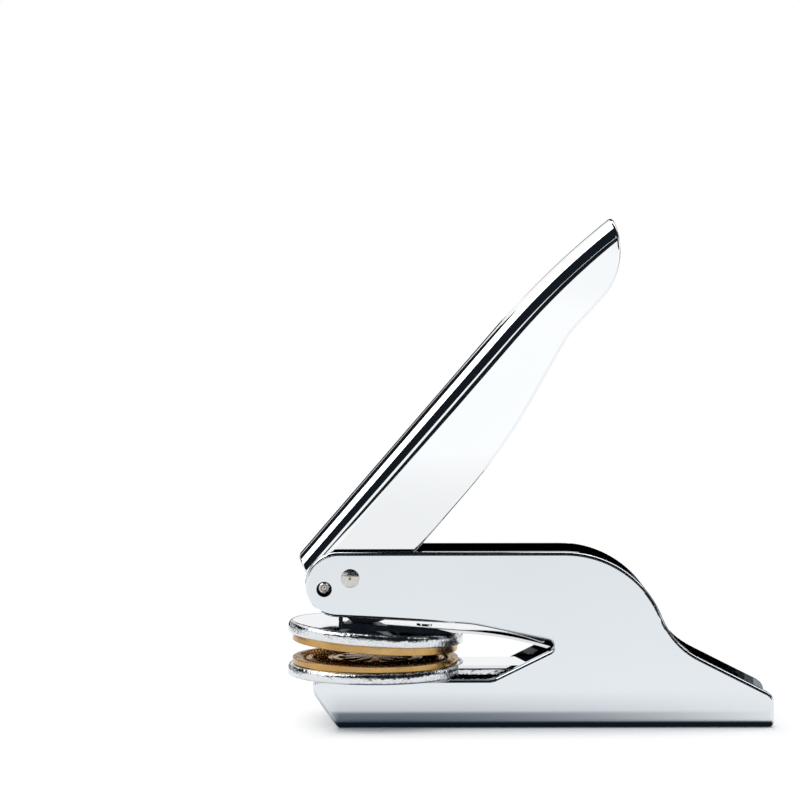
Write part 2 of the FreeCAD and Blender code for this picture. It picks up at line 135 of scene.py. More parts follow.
# the shade at the machine's foot, as its polished sides mirror it: a dark line of contact, and a near
# and a far part that weaken from toe to tail; the toe is where the base starts, behind the nose. A ray
# counts when its cosine to the floor is past lowRay, or when it is shorter than shortRay
footLook = {
    "toe": 8.1 * mm, "contact": (0.4 * mm, 4 * mm), "contactColour": "#121920", "colour": "#404D5C",
    "near": (23 * mm, 29.5 * mm), "far": (18 * mm, 62 * mm), "nearShare": 0.58,
    "atToe": 0.88, "atTail": 0.09, "weakening": 2, "pastEnds": 6 * mm,
    "lowRay": (0.92, 0.97), "shortRay": (16 * mm, 22 * mm),
}
# a card is bent over the machine at a radius, here in metres, and runs in X through its stations of
# (x, first angle, last angle); the angles rise from the camera's side over the top. The lay card lies
# just over the floor behind the machine, between two places in Y
cardLook = {"colour": "#161B22", "steps": 24, "lay": (0.30, 1.29), "layHeight": 1 * mm, "layReach": 3}
bentCards = {
    "lowCard": (1.3, [(-3, 8, 12.4), (-0.38, 8, 12.4), (-0.27, 5, 20.4), (3, 5, 20.4)]),
    "highCard": (1.3, [(-3, 21.4, 66), (3, 21.4, 66)]),
    "boxCard": (0.9, [(-0.4, 62, 102), (3, 62, 102)]),
    "backCard": (1.3, [(-3, 120, 166), (-1.1, 120, 166), (-0.97, 130, 166), (-0.69, 148, 166),
                       (-0.45, 160, 166), (-0.36, 165, 166)]),
    "rimCard": (1.3, [(-0.3, 120, 166), (3, 120, 166)]),
    "floorCard": (1.3, [(-3, 173.3, 180), (3, 173.3, 180)]),
}


def cameraOrMirrorRays(tree):
    # 1 for what the camera sees straight, in metal or through glass, and 0 for light on the object
    path = addNode(tree, "ShaderNodeLightPath")
    seen = addNode(tree, mathNode, [path.outputs["Is Camera Ray"], path.outputs["Is Glossy Ray"]],
                   operation="MAXIMUM")
    return addNode(tree, mathNode, [seen, path.outputs["Is Transmission Ray"]], operation="MAXIMUM")


def whiteWorld():
    # pure white to the eye and in the metal, while it lights the object by the fill only
    world = bpy.data.worlds.new("whiteRoom")
    scene.world = world
    world.use_nodes = True
    tree = world.node_tree
    tree.nodes.clear()
    fill = addNode(tree, "ShaderNodeBackground", [hexColour(studio["white"]), studio["fill"]])
    white = addNode(tree, "ShaderNodeBackground", [hexColour(studio["white"]), 1.0])
    both = addNode(tree, "ShaderNodeMixShader", [cameraOrMirrorRays(tree), fill, white])
    addNode(tree, "ShaderNodeOutputWorld", [both])


def distancesFromBase(tree, low, high):
    # of a point on the floor: past the base's ends, past its sides, in all, and the share of its length
    place = addNode(tree, "ShaderNodeTexCoord").outputs["Object"]
    toe = low.x + footLook["toe"]
    middle = ((toe + high.x) / 2, (low.y + high.y) / 2, 0)
    half = ((high.x - toe) / 2, (high.y - low.y) / 2, 1)
    fromMiddle = addNode(tree, vectorNode, [place, middle], operation="SUBTRACT")
    mirrored = addNode(tree, vectorNode, [fromMiddle], operation="ABSOLUTE")
    outside = addNode(tree, vectorNode, [mirrored, half], operation="SUBTRACT")
    clipped = addNode(tree, vectorNode, [outside, (0, 0, 0)], operation="MAXIMUM")
    inAll = addNode(tree, vectorNode, [clipped], operation="LENGTH").outputs["Value"]
    pastEnds, pastSides = addNode(tree, splitNode, [clipped]).outputs[:2]
    alongBase = addNode(tree, rangeNode, [addNode(tree, splitNode, [place]), toe, high.x, 0, 1])
    return pastEnds, pastSides, inAll, alongBase


def litPaper(tree, path, pastEnds, pastSides, inAll):
    # white paper that keeps the machine's shadow; it goes over to pure white away from the base. The
    # camera looks at the base's long side, so past that side is in front and past the ends is sideways
    inFront = addNode(tree, rangeNode, [pastSides, *paperLook["seenFront"], 0, 1])
    sideways = addNode(tree, rangeNode, [pastEnds, 0, paperLook["seenSide"], 0, 1])
    atSide = addNode(tree, mathNode, [sideways, paperLook["sidePower"]], operation="POWER")
    seenFar = addNode(tree, mathNode, [inFront, atSide], operation="MAXIMUM")
    mirrorFar = addNode(tree, rangeNode, [inAll, *paperLook["mirrorWhite"], 0, 1])
    far = addNode(tree, mixNode, {0: path["Is Glossy Ray"], 2: seenFar, 3: mirrorFar})
    farShown = addNode(tree, mathNode, [far, cameraOrMirrorRays(tree)], operation="MULTIPLY")
    lift = addNode(tree, mathNode, [path["Is Camera Ray"], paperLook["lift"]], operation="MULTIPLY")
    paper = addNode(tree, "ShaderNodeBsdfDiffuse", [hexColour(paperLook["colour"])])
    glow = addNode(tree, "ShaderNodeEmission", [hexColour(paperLook["liftColour"]), lift])
    near = addNode(tree, "ShaderNodeAddShader", [paper, glow])
    white = addNode(tree, "ShaderNodeEmission", [hexColour(studio["white"]), paperLook["farWhite"]])
    return addNode(tree, "ShaderNodeMixShader", [farShown, near, white])


def footShade(tree, path, pastEnds, inAll, alongBase):
    # how dark a mirror ray finds the floor in the shade, and how dark it finds the line of contact;
    # a long ray that comes down steeply finds no shade
    weakened = addNode(tree, mathNode, [alongBase, footLook["weakening"]], operation="POWER")
    strength = addNode(tree, rangeNode, [weakened, 0, 1, footLook["atToe"], footLook["atTail"]])
    besideBase = addNode(tree, rangeNode, [pastEnds, 0, footLook["pastEnds"], path["Is Glossy Ray"], 0])
    lowness = addNode(tree, mathNode, [inAll, path["Ray Length"]], operation="DIVIDE")
    lowRay = addNode(tree, rangeNode, [lowness, *footLook["lowRay"], 0, 1])
    shortRay = addNode(tree, rangeNode, [path["Ray Length"], *footLook["shortRay"], 1, 0])
    counted = addNode(tree, mathNode, [lowRay, shortRay], operation="MAXIMUM")
    countedHere = addNode(tree, mathNode, [besideBase, counted], operation="MULTIPLY")
    most = addNode(tree, mathNode, [strength, countedHere], operation="MULTIPLY")
    nearPart = addNode(tree, rangeNode, [inAll, *footLook["near"], footLook["nearShare"], 0],
                       interpolation_type="SMOOTHSTEP")
    farPart = addNode(tree, rangeNode, [inAll, *footLook["far"], 1 - footLook["nearShare"], 0])
    depth = addNode(tree, mathNode, [nearPart, farPart], operation="ADD")
    shade = addNode(tree, mathNode, [depth, most], operation="MULTIPLY")
    touching = addNode(tree, rangeNode, [inAll, *footLook["contact"], 1, 0],
                       interpolation_type="SMOOTHSTEP")
    contact = addNode(tree, mathNode, [touching, besideBase], operation="MULTIPLY")
    return shade, contact


def paperMaterial(low, high):
    # matt white paper, with the shade that polished metal shows of it close to the machine
    material, tree = newMaterial("matt white paper")
    path = addNode(tree, "ShaderNodeLightPath").outputs
    pastEnds, pastSides, inAll, alongBase = distancesFromBase(tree, low, high)
    lit = litPaper(tree, path, pastEnds, pastSides, inAll)
    shade, contact = footShade(tree, path, pastEnds, inAll, alongBase)
    shadePaper = addNode(tree, "ShaderNodeEmission", [hexColour(footLook["colour"]), 1.0])
    contactPaper = addNode(tree, "ShaderNodeEmission", [hexColour(footLook["contactColour"]), 1.0])
    shaded = addNode(tree, "ShaderNodeMixShader", [shade, lit, shadePaper])
    both = addNode(tree, "ShaderNodeMixShader", [contact, shaded, contactPaper])
    addNode(tree, "ShaderNodeOutputMaterial", [both])
    return material


def cardMaterial():
    # matt card, a blue black: polished metal shows it as its dark bands
    material, tree = newMaterial("black card")
    card = addNode(tree, "ShaderNodeEmission", [hexColour(cardLook["colour"]), 1.0])
    addNode(tree, "ShaderNodeOutputMaterial", [card])
    return material


def addCard(name, rows, material):
    # rows of points (x, y, z), all with the same count; only mirrors see a card
    width = len(rows[0])
    verts = [point for row in rows for point in row]
    faces = [(i * width + k, i * width + k + 1, (i + 1) * width + k + 1, (i + 1) * width + k)
             for i in range(len(rows) - 1) for k in range(width - 1)]
    mesh = bpy.data.meshes.new(name)
    mesh.from_pydata(verts, [], faces)
    mesh.materials.append(material)
    card = addObject(name, mesh)
    card.visible_camera = False
    card.visible_diffuse = False
    card.visible_shadow = False
    return card


def bentRows(radius, stations):
    # one row of points along the machine at each step of the bend
    rows = []
    for i in range(cardLook["steps"] + 1):
        angles = [(x, math.radians(start + (end - start) * i / cardLook["steps"]))
                  for x, start, end in stations]
        rows.append([(x, -radius * math.cos(a), radius * math.sin(a)) for x, a in angles])
    return rows


def buildStudio():
    whiteWorld()
    half = studio["halfWidth"]
    paper = bpy.data.meshes.new("paper")
    paper.from_pydata([(-half, -half, 0), (half, -half, 0), (half, half, 0), (-half, half, 0)], [],
                      [(0, 1, 2, 3)])
    low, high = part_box("frame")
    paper.materials.append(paperMaterial(low, high))
    black = cardMaterial()
    cards = [addCard(name, bentRows(*card), black) for name, card in bentCards.items()]
    reach, height = cardLook["layReach"], cardLook["layHeight"]
    layRows = [[(-reach, y, height), (reach, y, height)] for y in cardLook["lay"]]
    cards.append(addCard("layCard", layRows, black))
    addObject("paper", paper)
    light = bpy.data.lights.new("longSoftBox", "AREA")
    light.shape = "RECTANGLE"
    light.size, light.size_y = studio["boxSize"]
    light.energy = studio["boxPower"]
    softBox = addObject("longSoftBox", light)
    softBox.location = studio["boxPlace"]


buildStudio()
print("studio built")

# metal finishes, all lengths in millimetres: the colour drifts between two shades over patches, the
# roughness between two values over smears, and bumps lists (size, height, stretch) from coarse to fine
finishes = {
    "sheet": {"colour": "#EBF0F4", "shade": "#E5EBF0", "patch": 30, "rough": (0.018, 0.045), "smear": 9,
              "bumps": [(24, 0.010, (1, 1, 1)), (3.0, 0.0006, (0.3, 1, 1))]},
    "casting": {"colour": "#EEF0F2", "shade": "#DCE0E4", "patch": 1.6, "rough": (0.03, 0.07), "smear": 1.2,
                "bumps": [(14.0, 0.004, (1, 1, 1))]},
    "spring": {"colour": "#ECEEF0", "shade": "#E2E6E9", "patch": 14, "rough": (0.02, 0.06), "smear": 5,
               "bumps": [(11, 0.006, (0.4, 1, 1)), (0.5, 0.0004, (0.08, 1, 1))]},
    "pin": {"colour": "#E6E1DB", "shade": "#BDBAB6", "patch": 0.9, "rough": (0.10, 0.22), "smear": 0.5,
            "bumps": [(0.45, 0.005, (1, 0.4, 1))]},
    "cam": {"colour": "#2E3238", "shade": "#1D2127", "patch": 3.0, "rough": (0.22, 0.4), "smear": 1.5,
            "bumps": [(0.35, 0.003, (1, 0.1, 1))]},
    "brass": {"colour": "#DEBB7E", "shade": "#A87C42", "patch": 9, "rough": (0.16, 0.30), "smear": 0.8,
              "bumps": [(0.8, 0.004, (1, 1, 1))]},
}
# painted light: the lever's plating is the frame's, made a shade whiter so that its side shows brighter
finishes["lever"] = {**finishes["sheet"], "colour": "#F9FBFD", "shade": "#F4F7F9"}    # a shade whiter
# how fine each noise goes, and the span of the smears' noise that takes the roughness from end to end
noiseLook = {"patchDetail": 3, "smearDetail": 5, "bumpDetail": 2, "smearSpan": (0.35, 0.65)}


def middleOf(node):
    low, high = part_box(node)
    return (low + high) / 2


def metalFinish(name, look):
    material, tree = newMaterial(name)
    place = addNode(tree, "ShaderNodeTexCoord").outputs["Object"]
    patches = addNode(tree, "ShaderNodeTexNoise", {"Vector": place, "Scale": 1 / (look["patch"] * mm),
                                                   "Detail": noiseLook["patchDetail"]})
    colour = addNode(tree, mixNode, {0: patches, 6: hexColour(look["shade"]), 7: hexColour(look["colour"])},
                     data_type="RGBA")
    smears = addNode(tree, "ShaderNodeTexNoise", {"Vector": place, "Scale": 1 / (look["smear"] * mm),
                                                  "Detail": noiseLook["smearDetail"]})
    rough = addNode(tree, rangeNode, [smears, *noiseLook["smearSpan"], *look["rough"]])
    shader = addNode(tree, "ShaderNodeBsdfPrincipled", {"Metallic": 1.0, "Base Color": colour.outputs[2],
                                                        "Roughness": rough})
    normal = None
    for size, height, stretch in look["bumps"]:
        spread = addNode(tree, "ShaderNodeMapping", {"Vector": place, "Scale": stretch})
        grain = addNode(tree, "ShaderNodeTexNoise", {"Vector": spread, "Scale": 1 / (size * mm),
                                                     "Detail": noiseLook["bumpDetail"]})
        bump = addNode(tree, "ShaderNodeBump", {"Strength": 1.0, "Distance": height * mm, "Height": grain})
        if normal:
            tree.links.new(normal.outputs[0], bump.inputs["Normal"])
        normal = bump
    tree.links.new(normal.outputs[0], shader.inputs["Normal"])
    addNode(tree, "ShaderNodeOutputMaterial", [shader])
    return material, tree, shader, normal


def layStainAndShade(tree, shader, cover, overlayLook):
    # lays a colour over the metal's own, for a tarnish and for painted shade; cover is 1 where it is
    # thickest
    share = addNode(tree, mathNode, [cover, overlayLook["share"]], operation="MULTIPLY")
    bare = shader.inputs["Base Color"].links[0].from_socket
    colour = addNode(tree, mixNode, {0: share, 6: bare, 7: hexColour(overlayLook["colour"])}, data_type="RGBA")
    tree.links.new(colour.outputs[2], shader.inputs["Base Color"])


# rings left by the lathe, in millimetres; its real feed is too fine to show, so they are drawn coarser
turningMarks = {"pin": {"pitch": 0.30, "depth": 0.012, "detail": 3},
                "brass": {"pitch": 0.16, "depth": 0.0022, "detail": 3}}


def addTurningMarks(tree, shader, normal, marks):
    # the rings follow the way along the turned profile
    along = addNode(tree, "ShaderNodeAttribute", attribute_name="alongProfile").outputs["Fac"]
    steps = addNode(tree, mathNode, [along, 1 / (marks["pitch"] * mm)], operation="MULTIPLY")
    rings = addNode(tree, "ShaderNodeTexNoise", {"W": steps, "Scale": 1, "Detail": marks["detail"]},
                    noise_dimensions="1D")
    bump = addNode(tree, "ShaderNodeBump", {"Strength": 1.0, "Distance": marks["depth"] * mm,
                                            "Height": rings, "Normal": normal})
    tree.links.new(bump.outputs[0], shader.inputs["Normal"])


# painted shade inside the fold, a darker grey laid on the chrome: nearer to the middle than side and higher
# than floor, both just within the plate
insideShadeLook = {"colour": "#20262D", "share": 0.7, "side": 10.4 * mm, "floor": 1.8 * mm}


def shadedInsideSheet():
    # bright chrome on pressed steel: a near mirror with the faint waves of bent sheet, with painted shade
    # that turns it grey and darker inside the fold
    material, tree, shader, normal = metalFinish("chrome plated sheet, painted shade inside", finishes["sheet"])
    axes = addNode(tree, splitNode, [addNode(tree, "ShaderNodeTexCoord").outputs["Object"]]).outputs
    across = addNode(tree, mathNode, [axes[1]], operation="ABSOLUTE")
    between = addNode(tree, mathNode, [across, insideShadeLook["side"]], operation="LESS_THAN")
    above = addNode(tree, mathNode, [axes[2], insideShadeLook["floor"]], operation="GREATER_THAN")
    inside = addNode(tree, mathNode, [between, above], operation="MULTIPLY")
    # painted shade: the chrome goes a darker grey inside the fold
    layStainAndShade(tree, shader, inside, insideShadeLook)
    return material


# the painted shade round the cam pin is full up to the edge's first distance from the pin's axis, and gone
# at its second
pinShadeLook = {"colour": "#14161A", "share": 1.0, "edge": (2.1 * mm, 2.5 * mm)}


def pinShadedLeverSheet():
    # the same plating, made a shade whiter than the frame's as painted light, with a painted dark shade
    # round the cam pin that shows through the frame's access hole
    material, tree, shader, normal = metalFinish("chrome plated steel, painted shade round the cam pin", finishes["lever"])
    pin = middleOf("cam_pin")
    place = addNode(tree, "ShaderNodeTexCoord").outputs["Object"]
    flat = addNode(tree, vectorNode, [place, (1, 0, 1)], operation="MULTIPLY")
    away = addNode(tree, vectorNode, [flat, (pin.x, 0, pin.z)], operation="DISTANCE").outputs["Value"]
    # painted shade: a dark ring on the lever round the cam pin
    layStainAndShade(tree, shader, addNode(tree, rangeNode, [away, *pinShadeLook["edge"], 1, 0]), pinShadeLook)
    return material


pitLook = {"size": 0.6 * mm, "depth": 0.11 * mm, "detail": 3}


def chromedCasting():
    # chrome over a zinc casting: ground flats like a mirror, and rims left pitted
    material, tree, shader, normal = metalFinish("chromed rough casting", finishes["casting"])
    place = addNode(tree, "ShaderNodeTexCoord").outputs["Object"]
    rim = addNode(tree, "ShaderNodeAttribute", attribute_name="rimShare").outputs["Fac"]
    pits = addNode(tree, "ShaderNodeTexNoise", {"Vector": place, "Scale": 1 / pitLook["size"],
                                                "Detail": pitLook["detail"]})
    height = addNode(tree, mathNode, [pits, rim], operation="MULTIPLY")
    bump = addNode(tree, "ShaderNodeBump", {"Strength": 1.0, "Distance": pitLook["depth"], "Height": height,
                                            "Normal": normal})
    tree.links.new(bump.outputs[0], shader.inputs["Normal"])
    return material


def chromedSpringStrip():
    # polished strip with the lines of the roll along it
    return metalFinish("chromed spring strip", finishes["spring"])[0]


def drawnPinSteel():
    # bright drawn wire cut to length: greyer and softer than the plating, lined along its axis
    return metalFinish("drawn pin steel", finishes["pin"])[0]


def turnedPinSteel():
    # the same steel, faced on the lathe: its rings catch the light
    material, tree, shader, normal = metalFinish("turned pin steel", finishes["pin"])
    addTurningMarks(tree, shader, normal, turningMarks["pin"])
    return material


def hardenedCamSteel():
    # oil blackened and ground: dark with a dull shine
    return metalFinish("hardened cam steel", finishes["cam"])[0]


# brown over the dies' engraved faces: partly tarnish, partly painted shade of the dark between the dies
tarnishAndShadeLook = {"colour": "#3A2616", "share": 0.72}


def turnedBrass():
    # satin brass with fine rings from the lathe, and over its engraved face a brown that is partly tarnish
    # and partly painted shade
    material, tree, shader, normal = metalFinish("turned brass", finishes["brass"])
    addTurningMarks(tree, shader, normal, turningMarks["brass"])
    engraved = addNode(tree, "ShaderNodeAttribute", attribute_name="engraved").outputs["Fac"]
    # partly tarnish, partly painted shade over the engraved face
    layStainAndShade(tree, shader, engraved, tarnishAndShadeLook)
    return material


# each slot of the record and its metal; the lever and the turned pins have their own
metals = {
    "chrome_steel": shadedInsideSheet(), "chrome_casting": chromedCasting(),
    "spring_steel": chromedSpringStrip(), "pin_steel": drawnPinSteel(), "cam_steel": hardenedCamSteel(),
    "brass": turnedBrass(),
}
turnedSteel = turnedPinSteel()
for part in frame["record"]["subparts"]:
    node = frame["nodes"][part["node"]]
    node.data.materials.clear()
    node.data.materials.append(metals[part["material_slot"]])
frame["nodes"]["lever"].data.materials[0] = pinShadedLeverSheet()
print("finishes made")


def fineProfile(corners, step):
    # corners are (radius, height, bend), with an arc of radius bend where it isn't 0; straight runs get
    # points about every step
    points = []
    for i, (radius, height, bend) in enumerate(corners):
        here = Vector((radius, height))
        if bend == 0:
            points.append(here)
            continue
        back = (Vector(corners[i - 1][:2]) - here).normalized()
        ahead = (Vector(corners[i + 1][:2]) - here).normalized()
        half = back.angle(ahead) / 2
        start = here + back * (bend / math.tan(half))
        centre = here + (back + ahead).normalized() * (bend / math.sin(half))
        sweep = math.pi - 2 * half
        turn = 1 if back.x * ahead.y - back.y * ahead.x < 0 else -1
        count = max(4, int(bend * sweep / step))    # a short arc still gets four parts
        for j in range(count + 1):
            spoke = start - centre
            spoke.rotate(Matrix.Rotation(turn * sweep * j / count, 2))
            points.append(centre + spoke)
    fine = [points[0]]
    for point in points[1:]:
        begin = fine[-1]
        run = point - begin
        pieces = max(1, round(run.length / step))
        fine += [begin + run * (k / pieces) for k in range(1, pieces + 1)]
    return fine


poleRadius = 1e-9    # a point of a profile nearer to the axis than this is a pole


def turned(name, profile, steps):
    # a closed body turned about Z; the way along its profile stays on it for the turning marks
    bm = bmesh.new()
    layer = bm.verts.layers.float.new("alongProfile")
    rings = []
    way = 0.0
    for i, point in enumerate(profile):
        way += (point - profile[i - 1]).length if i else 0
        count = 1 if point.x < poleRadius else steps
        ring = []
        for k in range(count):
            angle = 2 * math.pi * k / count
            vert = bm.verts.new((point.x * math.cos(angle), point.x * math.sin(angle), point.y))
            vert[layer] = way
            ring.append(vert)
        rings.append(ring)
    for low, high in zip(rings, rings[1:]):
        for k in range(steps):
            lowPair = [low[k % len(low)], low[(k + 1) % len(low)]]
            highPair = [high[(k + 1) % len(high)], high[k % len(high)]]
            bm.faces.new(list(dict.fromkeys(lowPair + highPair)))
    bmesh.ops.recalc_face_normals(bm, faces=bm.faces)
    mesh = bpy.data.meshes.new(name)
    bm.to_mesh(mesh)
    bm.free()
    mesh.polygons.foreach_set("use_smooth", [True] * len(mesh.polygons))
    return addObject(name, mesh)


def newGeometryTree(name, inputs):
    # inputs are the names of the tree's sizes; every tree also takes the material of its piece
    tree = bpy.data.node_groups.new(name, "GeometryNodeTree")
    tree.interface.new_socket("Geometry", in_out="INPUT", socket_type="NodeSocketGeometry")
    for label in inputs:
        tree.interface.new_socket(label, in_out="INPUT", socket_type="NodeSocketFloat")
    tree.interface.new_socket("Material", in_out="INPUT", socket_type="NodeSocketMaterial")
    tree.interface.new_socket("Geometry", in_out="OUTPUT", socket_type="NodeSocketGeometry")
    return tree, addNode(tree, "NodeGroupInput").outputs


def endTree(tree, geometry, attribute, value, material):
    # keeps a value on the mesh for the material, then makes the result real and paints it
    kept = addNode(tree, "GeometryNodeStoreNamedAttribute", {"Geometry": geometry, "Name": attribute,
                                                             "Value": value}, data_type="FLOAT")
    real = addNode(tree, "GeometryNodeRealizeInstances", [kept])
    painted = addNode(tree, "GeometryNodeSetMaterial", {"Geometry": real, "Material": material})
    addNode(tree, "NodeGroupOutput", [painted])


def applyTree(piece, tree, values):
    # runs the tree on the piece and keeps the result as its plain mesh
    modifier = piece.modifiers.new("shape", "NODES")
    modifier.node_group = tree
    keys = {item.name: item.identifier for item in tree.interface.items_tree if item.in_out == "INPUT"}
    for label, value in values.items():
        modifier[keys[label]] = value
    applyModifiers(piece)


def applyModifiers(piece):
    # the evaluated piece becomes its plain mesh
    bpy.context.view_layer.update()
    result = bpy.data.meshes.new_from_object(piece.evaluated_get(bpy.context.evaluated_depsgraph_get()))
    result.name = piece.name
    piece.modifiers.clear()
    piece.data = result


def settle(piece, place, body, slot, *nodes):
    # moves the mesh to its place in the frame, and lets the piece stand for its nodes
    piece.data.transform(place)
    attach(piece, body)
    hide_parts(*nodes)


jawJoint = next(j for j in frame["joints"] if j["name"] == "jaw_close")
jawTilt = math.radians(jawJoint["range_deg"][1])     # the open jaw leans back by its whole travel


def diePlace(node, tilt):
    # from a die's own axes to its place, leaning by the tilt
    return Matrix.Translation(middleOf(node)) @ Matrix.Rotation(tilt, 4, "Y")


def thicknessOf(node, tilt, edge):
    # of a round plate with rounded edges, from the box of its leaning solid
    low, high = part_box(node)
    radius = (high.y - low.y) / 2
    half = ((high.z - low.z) / 2 - edge - (radius - edge) * math.sin(tilt)) / math.cos(tilt) + edge
    return radius, 2 * half


# dies: turned discs with an engraved face; lengths in millimetres, and faceSkin is how deep under the
# face a point still belongs to it
dieLook = {"edge": 0.15, "ringStep": 0.14, "backStep": 1.5, "steps": 420, "faceSkin": 0.01}
# a made-up ornament of rings, beads, a plait and a rosette, by the names of the tree's inputs; lengths in
# millimetres, and the height of the petals as a share of the relief
reliefSizes = {
    "Relief": 0.35, "Border": 18.9, "Border rise": 0.25, "Rim fall": 0.3,
    "Beads": 84, "Bead circle": 17.7, "Bead size": 0.52,
    "Line": 16.6, "Line width": 0.22, "Inner line": 10.9,
    "Plait circle": 13.75, "Plait waves": 24, "Plait swing": 1.75, "Plait width": 0.34,
    "Petals": 12, "Petal length": 9.6, "Petal power": 0.6, "Petal slope": 0.9, "Petal height": 0.85,
    "Boss": 2.3,
}


def ridge(tree, radius, middle, width):
    # 1 along the middle of a ridge, 0 from its width outwards
    gap = addNode(tree, mathNode, [radius, middle], operation="SUBTRACT")
    wide = addNode(tree, mathNode, [gap], operation="ABSOLUTE")
    return addNode(tree, rangeNode, [wide, 0, width, 1, 0])


def dome(tree, reach):
    # 1 where the reach is 0, rounding down to 0 where it is 1
    under = addNode(tree, mathNode, [1, reach], operation="SUBTRACT", use_clamp=True)
    return addNode(tree, mathNode, [under], operation="SQRT")


def slopeAt(tree, radius, start, width, before, after):
    # goes from one value to the other over the width, from the start outwards
    end = addNode(tree, mathNode, [start, width], operation="ADD")
    return addNode(tree, rangeNode, [radius, start, end, before, after])


def beadHeight(tree, given, radius, angle):
    # the angle folds into one share per bead, and each bead is a dome
    share = addNode(tree, mathNode, [2 * math.pi, given["Beads"]], operation="DIVIDE")
    within = addNode(tree, mathNode, [angle, share], operation="DIVIDE")
    folded = addNode(tree, mathNode, [within, 0.5], operation="PINGPONG")
    sideways = addNode(tree, mathNode, [folded, share], operation="MULTIPLY")
    arc = addNode(tree, mathNode, [sideways, given["Bead circle"]], operation="MULTIPLY")
    outward = addNode(tree, mathNode, [radius, given["Bead circle"]], operation="SUBTRACT")
    offset = addNode(tree, "ShaderNodeCombineXYZ", [arc, outward])
    off = addNode(tree, vectorNode, [offset], operation="LENGTH").outputs["Value"]
    reach = addNode(tree, mathNode, [off, given["Bead size"]], operation="DIVIDE")
    return dome(tree, addNode(tree, mathNode, [reach, 2], operation="POWER"))


def plaitHeight(tree, given, radius, angle, side):
    # one strand: a ridge that waves about the plait's circle, to one side first
    turns = addNode(tree, mathNode, [angle, given["Plait waves"]], operation="MULTIPLY")
    wave = addNode(tree, mathNode, [turns], operation="COSINE")
    swing = addNode(tree, mathNode, [given["Plait swing"], side], operation="MULTIPLY")
    middle = addNode(tree, mathNode, [wave, swing, given["Plait circle"]], operation="MULTIPLY_ADD")
    return ridge(tree, radius, middle, given["Plait width"])


def petalHeight(tree, given, radius, angle):
    # petals as long as the cosine of their angle
    halfTurns = addNode(tree, mathNode, [given["Petals"], 0.5], operation="MULTIPLY")
    spin = addNode(tree, mathNode, [angle, halfTurns], operation="MULTIPLY")
    wave = addNode(tree, mathNode, [spin], operation="COSINE")
    petal = addNode(tree, mathNode, [wave], operation="ABSOLUTE")
    tip = addNode(tree, mathNode, [petal, given["Petal power"]], operation="POWER")
    length = addNode(tree, mathNode, [tip, given["Petal length"]], operation="MULTIPLY")
    inside = addNode(tree, mathNode, [length, radius], operation="SUBTRACT")
    return addNode(tree, rangeNode, [inside, 0, given["Petal slope"], 0, given["Petal height"]],
                   interpolation_type="SMOOTHSTEP")


def reliefTree():
    # sinks the face of a die: the field round a raised ornament, or else the ornament itself; the tree
    # works in millimetres on the die's own axes
    tree, given = newGeometryTree("dieRelief", ("Face height", "Raised", *reliefSizes))
    scaled = addNode(tree, vectorNode, {0: addNode(tree, "GeometryNodeInputPosition"), "Scale": 1 / mm},
                     operation="SCALE")
    axes = addNode(tree, splitNode, [scaled]).outputs
    flat = addNode(tree, "ShaderNodeCombineXYZ", [axes[0], axes[1]])
    radius = addNode(tree, vectorNode, [flat], operation="LENGTH").outputs["Value"]
    angle = addNode(tree, mathNode, [axes[1], axes[0]], operation="ARCTAN2")
    tall = slopeAt(tree, radius, given["Border"], given["Border rise"], 0, 1)
    heights = [beadHeight(tree, given, radius, angle)]
    heights += [ridge(tree, radius, given[ring], given["Line width"]) for ring in ("Line", "Inner line")]
    heights += [plaitHeight(tree, given, radius, angle, side) for side in (1, -1)]
    heights.append(petalHeight(tree, given, radius, angle))
    heights.append(dome(tree, addNode(tree, mathNode, [radius, given["Boss"]], operation="DIVIDE")))
    for height in heights:
        tall = addNode(tree, mathNode, [tall, height], operation="MAXIMUM")
    # a raised pattern leaves its field sunk, a sunk one leaves its field at the face
    sunkPattern = addNode(tree, mathNode, [tall, -1], operation="MULTIPLY")
    sunkField = addNode(tree, mathNode, [tall, 1], operation="SUBTRACT")
    depth = addNode(tree, mixNode, {0: given["Raised"], 2: sunkPattern, 3: sunkField})
    withinRim = slopeAt(tree, radius, given["Border"], given["Rim fall"], 1, 0)
    depthKept = addNode(tree, mathNode, [depth.outputs[0], withinRim], operation="MULTIPLY")
    drop = addNode(tree, mathNode, [depthKept, given["Relief"]], operation="MULTIPLY")
    dropSize = addNode(tree, mathNode, [drop, mm], operation="MULTIPLY")
    onFace = addNode(tree, "FunctionNodeCompare", [axes[2], given["Face height"]], operation="GREATER_THAN")
    move = addNode(tree, "ShaderNodeCombineXYZ", [0.0, 0.0, dropSize])
    shaped = addNode(tree, "GeometryNodeSetPosition", {"Geometry": given["Geometry"], "Selection": onFace,
                                                       "Offset": move})
    engraved = addNode(tree, mathNode, [withinRim, onFace], operation="MULTIPLY")
    endTree(tree, shaped, "engraved", engraved, given["Material"])
    return tree


def buildDie(name, node, body, tilt, faceUp, raised, tree):
    # the back half is coarse, and the face half is fine enough for its ornament
    edge = dieLook["edge"] * mm
    radius, thickness = thicknessOf(node, tilt, edge)
    top = thickness / 2
    back = fineProfile([(0, -top, 0), (radius, -top, edge), (radius, 0, 0)], dieLook["backStep"] * mm)
    face = fineProfile([(radius, 0, 0), (radius, top, edge), (0, top, 0)], dieLook["ringStep"] * mm)
    die = turned(name, back + face[1:], dieLook["steps"])
    applyTree(die, tree, {"Face height": top / mm - dieLook["faceSkin"], "Raised": raised,
                          "Material": metals["brass"], **reliefSizes})
    turnOver = Matrix.Identity(4) if faceUp else Matrix.Rotation(math.pi, 4, "X")
    settle(die, diePlace(node, tilt) @ turnOver, body, "brass", node)


relief = reliefTree()
buildDie("lowerDieFace", "lower_die", "stand", 0.0, True, 1.0, relief)
buildDie("upperDieFace", "upper_die", "upper_jaw", jawTilt, False, 0.0, relief)
print("dies turned and engraved")

